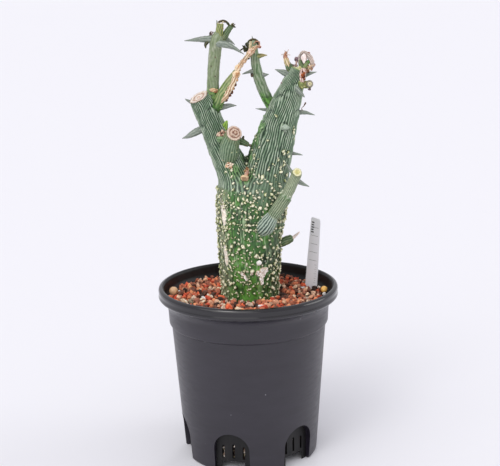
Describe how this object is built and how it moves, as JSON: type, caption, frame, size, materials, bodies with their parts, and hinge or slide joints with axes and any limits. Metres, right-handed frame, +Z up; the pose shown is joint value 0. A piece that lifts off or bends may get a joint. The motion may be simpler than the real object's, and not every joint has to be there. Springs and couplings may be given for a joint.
{
  "type": "potted adenia globosa",
  "caption": "Potted adenia globosa: warty green caudex forking into ribbed arms with spiny cut-back shoots, in grit in a round black nursery pot with a plain label.",
  "frame": {"origin": "middle of the circle that the pot's feet stand on, in the plane of the ground", "axes": "+Z up along the pot's axis, -Y the side that the picture shows, +X to its right"},
  "size_m": [0.1654, 0.1654, 0.3988],
  "materials": {
    "black_plastic": "matt, injection moulded",
    "grit": "rough, porous",
    "green_skin": "waxy, satin",
    "dark_green_skin": "waxy, satin",
    "bright_green_skin": "waxy, satin",
    "olive_skin": "waxy, satin",
    "pale_cork": "dry, matt",
    "dry_stem": "dry, matt",
    "dark_bark": "dry, matt",
    "label_plastic": "smooth, semi-gloss",
    "clay": "matt, baked",
    "amber_pellet": "smooth, coated",
    "white_pumice": "matt, porous"
  },
  "bodies": {
    "root": {"nursery_pot": "black_plastic", "potting_mix": "grit", "tan_bead": "clay", "yellow_bead": "amber_pellet", "white_chip": "white_pumice", "plant_label": "label_plastic", "caudex_stem": "green_skin", "basal_branch": "green_skin", "low_stub": "dark_green_skin", "low_stub_thread": "dry_stem", "front_stub": "green_skin", "woody_stub": "pale_cork", "green_sprout": "bright_green_skin", "side_stub": "dark_green_skin", "arm_bud_cluster": "pale_cork", "fork_bud_cluster": "dry_stem", "tall_shoot": "green_skin", "tall_shoot_dried_tip": "dark_bark", "withered_shoot": "green_skin", "withered_bark": "pale_cork", "withered_stem": "dry_stem", "middle_shoot": "green_skin", "middle_shoot_dried_tip": "dark_bark", "crown_left_sprout": "dark_green_skin", "crown_left_tip": "dry_stem", "crown_right_growth": "dark_green_skin", "crown_right_husk": "pale_cork", "crown_strip": "dry_stem", "crown_cut_stub": "olive_skin", "crown_bud": "dark_bark"}
  },
  "joints": []
}
